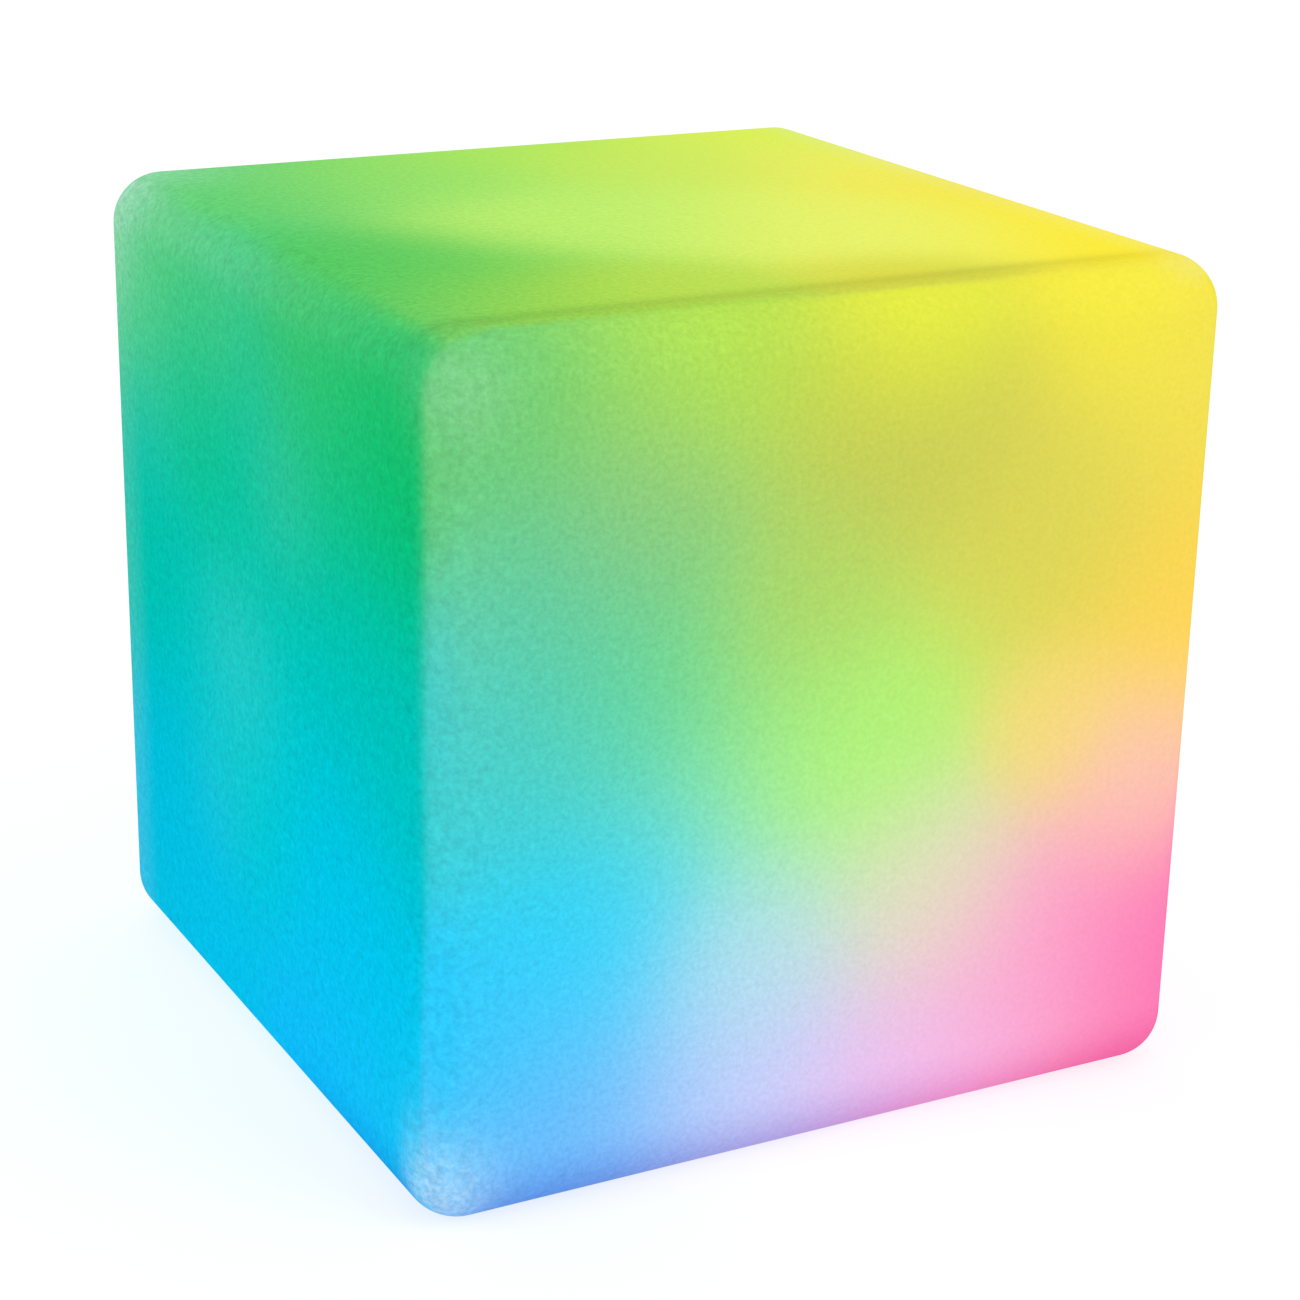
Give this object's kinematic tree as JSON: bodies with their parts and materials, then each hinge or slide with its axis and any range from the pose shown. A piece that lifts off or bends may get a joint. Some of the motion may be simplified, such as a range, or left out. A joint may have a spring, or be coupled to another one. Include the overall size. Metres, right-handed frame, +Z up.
{
  "type": "led cube light",
  "caption": "Hollow rounded cube of milky plastic, lit from inside by a sealed rechargeable light module screwed into a round pocket in its base.",
  "frame": {"origin": "on the ground under the middle of the cube", "axes": "+Z up, -Y towards the front face, +X along the row of the button, indicator and charging socket in the base"},
  "size_m": [0.4, 0.4, 0.4],
  "materials": {
    "shell": "milky translucent polyethylene, fine matte grain, lit from inside",
    "housing": "moulded, fine spark texture",
    "button": "satin moulded",
    "cover_rubber": "soft matte silicone",
    "rubber": "matte",
    "steel": "stainless, turned",
    "brass": "turned",
    "plated": "bright plated",
    "nickel": "rolled nickel strip",
    "black_plastic": "moulded",
    "connector": "moulded nylon",
    "board": "solder mask",
    "white_board": "white solder mask",
    "capacitor": "drawn can",
    "ferrite": "pressed ferrite",
    "cell": "film wrap",
    "sleeve": "shrink film",
    "wire_red": "insulation",
    "wire_black": "insulation",
    "lead": "insulation",
    "led": "moulded package",
    "reflector": "white film",
    "clear": "clear polycarbonate"
  },
  "bodies": {
    "lamp": {"cube_shell": "shell", "threaded_inserts": "brass", "flange_gasket": "rubber", "screw_washers": "steel", "mounting_screws": "steel", "module_housing": "housing", "boss_inserts": "brass", "button_oring": "rubber", "push_switch": "black_plastic", "charging_socket": "black_plastic", "socket_pin": "plated", "socket_seal": "rubber", "port_cover_anchor": "cover_rubber", "indicator_light_pipe": "clear", "indicator_led": "led", "control_board": "board", "controller_chip": "black_plastic", "driver_transistors": "black_plastic", "board_capacitors": "capacitor", "charge_inductor": "ferrite", "battery_header": "connector", "battery_plug": "connector", "led_header": "connector", "led_plug": "connector", "battery_cells": "cell", "battery_tabs": "nickel", "protection_board": "board", "battery_sleeve": "sleeve", "battery_cradle": "black_plastic", "battery_strap": "black_plastic", "strap_screws": "steel", "battery_wire_red": "wire_red", "battery_wire_black": "wire_black", "lower_standoffs": "brass", "upper_standoffs": "brass", "led_board": "white_board", "led_board_screws": "steel", "rgb_leds": "led", "white_leds": "led", "ir_receiver": "black_plastic", "reflector_sheet": "reflector", "led_lead": "lead", "lens_cover": "clear", "lens_oring": "rubber", "lens_screws": "steel"},
    "button": {"power_button": "button", "switch_plunger": "black_plastic"},
    "port_cover": {"port_cover": "cover_rubber"}
  },
  "joints": [
    {"name": "power_button_press", "type": "slide", "parent": "lamp", "child": "button", "axis": [0, 0, 1], "range_m": [0, 0.001], "stiffness_N_per_m": 1500, "springref_m": -0.0004},
    {"name": "port_cover_swing", "type": "hinge", "parent": "lamp", "child": "port_cover", "pos_m": [0.0244, 0, 0.0095], "axis": [0, -1, 0], "range_deg": [0, 150]}
  ]
}
